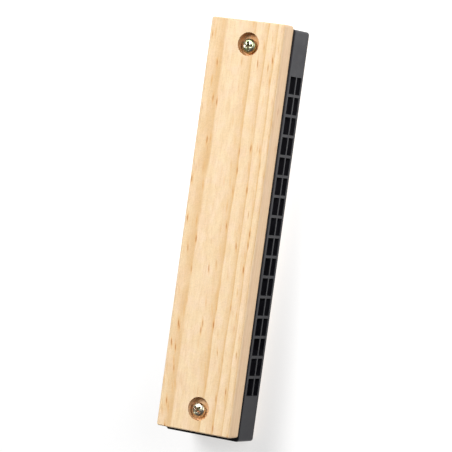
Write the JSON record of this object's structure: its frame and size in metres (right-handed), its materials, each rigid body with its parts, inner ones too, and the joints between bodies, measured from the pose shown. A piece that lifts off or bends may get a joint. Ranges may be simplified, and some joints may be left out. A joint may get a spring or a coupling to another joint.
{
  "type": "tremolo harmonica",
  "caption": "Tremolo harmonica with a black plastic comb, brass reed plates with free reeds, and rounded pine covers held by recessed screws.",
  "frame": {"origin": "under the middle of the whole object, on the flat outer face of the rear cover", "axes": "+X along the row of holes towards the high notes, the mouth face looks towards -Y, +Z out of the front cover"},
  "size_m": [0.134, 0.0276, 0.0226],
  "materials": {
    "pine": "sanded and clear-lacquered, satin",
    "black_plastic": "moulded, satin",
    "brass": "rolled sheet",
    "reed_bronze": "rolled and filed",
    "yellow_zinc": "yellow zinc plate"
  },
  "bodies": {
    "harmonica_body": {"comb": "black_plastic", "upper_reed_plate": "brass", "upper_plate_screw_low_mouth": "yellow_zinc", "upper_plate_screw_low_back": "yellow_zinc", "front_cover_screw_low": "yellow_zinc", "upper_plate_screw_high_mouth": "yellow_zinc", "upper_plate_screw_high_back": "yellow_zinc", "front_cover_screw_high": "yellow_zinc", "front_cover": "pine", "lower_reed_plate": "brass", "lower_plate_screw_low_mouth": "yellow_zinc", "lower_plate_screw_low_back": "yellow_zinc", "rear_cover_screw_low": "yellow_zinc", "lower_plate_screw_high_mouth": "yellow_zinc", "lower_plate_screw_high_back": "yellow_zinc", "rear_cover_screw_high": "yellow_zinc", "rear_cover": "pine"},
    "upper_reed_01": {"upper_reed_01": "reed_bronze"},
    "upper_reed_02": {"upper_reed_02": "reed_bronze"},
    "upper_reed_03": {"upper_reed_03": "reed_bronze"},
    "upper_reed_04": {"upper_reed_04": "reed_bronze"},
    "upper_reed_05": {"upper_reed_05": "reed_bronze"},
    "upper_reed_06": {"upper_reed_06": "reed_bronze"},
    "upper_reed_07": {"upper_reed_07": "reed_bronze"},
    "upper_reed_08": {"upper_reed_08": "reed_bronze"},
    "upper_reed_09": {"upper_reed_09": "reed_bronze"},
    "upper_reed_10": {"upper_reed_10": "reed_bronze"},
    "upper_reed_11": {"upper_reed_11": "reed_bronze"},
    "upper_reed_12": {"upper_reed_12": "reed_bronze"},
    "upper_reed_13": {"upper_reed_13": "reed_bronze"},
    "upper_reed_14": {"upper_reed_14": "reed_bronze"},
    "upper_reed_15": {"upper_reed_15": "reed_bronze"},
    "upper_reed_16": {"upper_reed_16": "reed_bronze"},
    "lower_reed_01": {"lower_reed_01": "reed_bronze"},
    "lower_reed_02": {"lower_reed_02": "reed_bronze"},
    "lower_reed_03": {"lower_reed_03": "reed_bronze"},
    "lower_reed_04": {"lower_reed_04": "reed_bronze"},
    "lower_reed_05": {"lower_reed_05": "reed_bronze"},
    "lower_reed_06": {"lower_reed_06": "reed_bronze"},
    "lower_reed_07": {"lower_reed_07": "reed_bronze"},
    "lower_reed_08": {"lower_reed_08": "reed_bronze"},
    "lower_reed_09": {"lower_reed_09": "reed_bronze"},
    "lower_reed_10": {"lower_reed_10": "reed_bronze"},
    "lower_reed_11": {"lower_reed_11": "reed_bronze"},
    "lower_reed_12": {"lower_reed_12": "reed_bronze"},
    "lower_reed_13": {"lower_reed_13": "reed_bronze"},
    "lower_reed_14": {"lower_reed_14": "reed_bronze"},
    "lower_reed_15": {"lower_reed_15": "reed_bronze"},
    "lower_reed_16": {"lower_reed_16": "reed_bronze"}
  },
  "joints": [
    {"name": "upper_reed_01_swing", "type": "hinge", "parent": "harmonica_body", "child": "upper_reed_01", "pos_m": [-0.04924, 0.00707, 0.01525], "axis": [1, 0, 0], "range_deg": [-4, 4], "stiffness_Nm_per_rad": 0.02},
    {"name": "upper_reed_02_swing", "type": "hinge", "parent": "harmonica_body", "child": "upper_reed_02", "pos_m": [-0.04274, 0.0066, 0.01695], "axis": [1, 0, 0], "range_deg": [-4, 4], "stiffness_Nm_per_rad": 0.02},
    {"name": "upper_reed_03_swing", "type": "hinge", "parent": "harmonica_body", "child": "upper_reed_03", "pos_m": [-0.03624, 0.00614, 0.01525], "axis": [1, 0, 0], "range_deg": [-4, 4], "stiffness_Nm_per_rad": 0.02},
    {"name": "upper_reed_04_swing", "type": "hinge", "parent": "harmonica_body", "child": "upper_reed_04", "pos_m": [-0.02974, 0.00567, 0.01695], "axis": [1, 0, 0], "range_deg": [-4, 4], "stiffness_Nm_per_rad": 0.02},
    {"name": "upper_reed_05_swing", "type": "hinge", "parent": "harmonica_body", "child": "upper_reed_05", "pos_m": [-0.02324, 0.0052, 0.01525], "axis": [1, 0, 0], "range_deg": [-4, 4], "stiffness_Nm_per_rad": 0.02},
    {"name": "upper_reed_06_swing", "type": "hinge", "parent": "harmonica_body", "child": "upper_reed_06", "pos_m": [-0.01674, 0.00474, 0.01695], "axis": [1, 0, 0], "range_deg": [-4, 4], "stiffness_Nm_per_rad": 0.02},
    {"name": "upper_reed_07_swing", "type": "hinge", "parent": "harmonica_body", "child": "upper_reed_07", "pos_m": [-0.01024, 0.00427, 0.01525], "axis": [1, 0, 0], "range_deg": [-4, 4], "stiffness_Nm_per_rad": 0.02},
    {"name": "upper_reed_08_swing", "type": "hinge", "parent": "harmonica_body", "child": "upper_reed_08", "pos_m": [-0.00374, 0.0038, 0.01695], "axis": [1, 0, 0], "range_deg": [-4, 4], "stiffness_Nm_per_rad": 0.02},
    {"name": "upper_reed_09_swing", "type": "hinge", "parent": "harmonica_body", "child": "upper_reed_09", "pos_m": [0.00276, 0.00334, 0.01525], "axis": [1, 0, 0], "range_deg": [-4, 4], "stiffness_Nm_per_rad": 0.02},
    {"name": "upper_reed_10_swing", "type": "hinge", "parent": "harmonica_body", "child": "upper_reed_10", "pos_m": [0.00926, 0.00287, 0.01695], "axis": [1, 0, 0], "range_deg": [-4, 4], "stiffness_Nm_per_rad": 0.02},
    {"name": "upper_reed_11_swing", "type": "hinge", "parent": "harmonica_body", "child": "upper_reed_11", "pos_m": [0.01576, 0.0024, 0.01525], "axis": [1, 0, 0], "range_deg": [-4, 4], "stiffness_Nm_per_rad": 0.02},
    {"name": "upper_reed_12_swing", "type": "hinge", "parent": "harmonica_body", "child": "upper_reed_12", "pos_m": [0.02226, 0.00194, 0.01695], "axis": [1, 0, 0], "range_deg": [-4, 4], "stiffness_Nm_per_rad": 0.02},
    {"name": "upper_reed_13_swing", "type": "hinge", "parent": "harmonica_body", "child": "upper_reed_13", "pos_m": [0.02876, 0.00147, 0.01525], "axis": [1, 0, 0], "range_deg": [-4, 4], "stiffness_Nm_per_rad": 0.02},
    {"name": "upper_reed_14_swing", "type": "hinge", "parent": "harmonica_body", "child": "upper_reed_14", "pos_m": [0.03526, 0.001, 0.01695], "axis": [1, 0, 0], "range_deg": [-4, 4], "stiffness_Nm_per_rad": 0.02},
    {"name": "upper_reed_15_swing", "type": "hinge", "parent": "harmonica_body", "child": "upper_reed_15", "pos_m": [0.04176, 0.00054, 0.01525], "axis": [1, 0, 0], "range_deg": [-4, 4], "stiffness_Nm_per_rad": 0.02},
    {"name": "upper_reed_16_swing", "type": "hinge", "parent": "harmonica_body", "child": "upper_reed_16", "pos_m": [0.04826, 0.00007, 0.01695], "axis": [1, 0, 0], "range_deg": [-4, 4], "stiffness_Nm_per_rad": 0.02},
    {"name": "lower_reed_01_swing", "type": "hinge", "parent": "harmonica_body", "child": "lower_reed_01", "pos_m": [-0.04924, 0.00707, 0.00735], "axis": [1, 0, 0], "range_deg": [-4, 4], "stiffness_Nm_per_rad": 0.02},
    {"name": "lower_reed_02_swing", "type": "hinge", "parent": "harmonica_body", "child": "lower_reed_02", "pos_m": [-0.04274, 0.0066, 0.00565], "axis": [1, 0, 0], "range_deg": [-4, 4], "stiffness_Nm_per_rad": 0.02},
    {"name": "lower_reed_03_swing", "type": "hinge", "parent": "harmonica_body", "child": "lower_reed_03", "pos_m": [-0.03624, 0.00614, 0.00735], "axis": [1, 0, 0], "range_deg": [-4, 4], "stiffness_Nm_per_rad": 0.02},
    {"name": "lower_reed_04_swing", "type": "hinge", "parent": "harmonica_body", "child": "lower_reed_04", "pos_m": [-0.02974, 0.00567, 0.00565], "axis": [1, 0, 0], "range_deg": [-4, 4], "stiffness_Nm_per_rad": 0.02},
    {"name": "lower_reed_05_swing", "type": "hinge", "parent": "harmonica_body", "child": "lower_reed_05", "pos_m": [-0.02324, 0.0052, 0.00735], "axis": [1, 0, 0], "range_deg": [-4, 4], "stiffness_Nm_per_rad": 0.02},
    {"name": "lower_reed_06_swing", "type": "hinge", "parent": "harmonica_body", "child": "lower_reed_06", "pos_m": [-0.01674, 0.00474, 0.00565], "axis": [1, 0, 0], "range_deg": [-4, 4], "stiffness_Nm_per_rad": 0.02},
    {"name": "lower_reed_07_swing", "type": "hinge", "parent": "harmonica_body", "child": "lower_reed_07", "pos_m": [-0.01024, 0.00427, 0.00735], "axis": [1, 0, 0], "range_deg": [-4, 4], "stiffness_Nm_per_rad": 0.02},
    {"name": "lower_reed_08_swing", "type": "hinge", "parent": "harmonica_body", "child": "lower_reed_08", "pos_m": [-0.00374, 0.0038, 0.00565], "axis": [1, 0, 0], "range_deg": [-4, 4], "stiffness_Nm_per_rad": 0.02},
    {"name": "lower_reed_09_swing", "type": "hinge", "parent": "harmonica_body", "child": "lower_reed_09", "pos_m": [0.00276, 0.00334, 0.00735], "axis": [1, 0, 0], "range_deg": [-4, 4], "stiffness_Nm_per_rad": 0.02},
    {"name": "lower_reed_10_swing", "type": "hinge", "parent": "harmonica_body", "child": "lower_reed_10", "pos_m": [0.00926, 0.00287, 0.00565], "axis": [1, 0, 0], "range_deg": [-4, 4], "stiffness_Nm_per_rad": 0.02},
    {"name": "lower_reed_11_swing", "type": "hinge", "parent": "harmonica_body", "child": "lower_reed_11", "pos_m": [0.01576, 0.0024, 0.00735], "axis": [1, 0, 0], "range_deg": [-4, 4], "stiffness_Nm_per_rad": 0.02},
    {"name": "lower_reed_12_swing", "type": "hinge", "parent": "harmonica_body", "child": "lower_reed_12", "pos_m": [0.02226, 0.00194, 0.00565], "axis": [1, 0, 0], "range_deg": [-4, 4], "stiffness_Nm_per_rad": 0.02},
    {"name": "lower_reed_13_swing", "type": "hinge", "parent": "harmonica_body", "child": "lower_reed_13", "pos_m": [0.02876, 0.00147, 0.00735], "axis": [1, 0, 0], "range_deg": [-4, 4], "stiffness_Nm_per_rad": 0.02},
    {"name": "lower_reed_14_swing", "type": "hinge", "parent": "harmonica_body", "child": "lower_reed_14", "pos_m": [0.03526, 0.001, 0.00565], "axis": [1, 0, 0], "range_deg": [-4, 4], "stiffness_Nm_per_rad": 0.02},
    {"name": "lower_reed_15_swing", "type": "hinge", "parent": "harmonica_body", "child": "lower_reed_15", "pos_m": [0.04176, 0.00054, 0.00735], "axis": [1, 0, 0], "range_deg": [-4, 4], "stiffness_Nm_per_rad": 0.02},
    {"name": "lower_reed_16_swing", "type": "hinge", "parent": "harmonica_body", "child": "lower_reed_16", "pos_m": [0.04826, 0.00007, 0.00565], "axis": [1, 0, 0], "range_deg": [-4, 4], "stiffness_Nm_per_rad": 0.02}
  ]
}
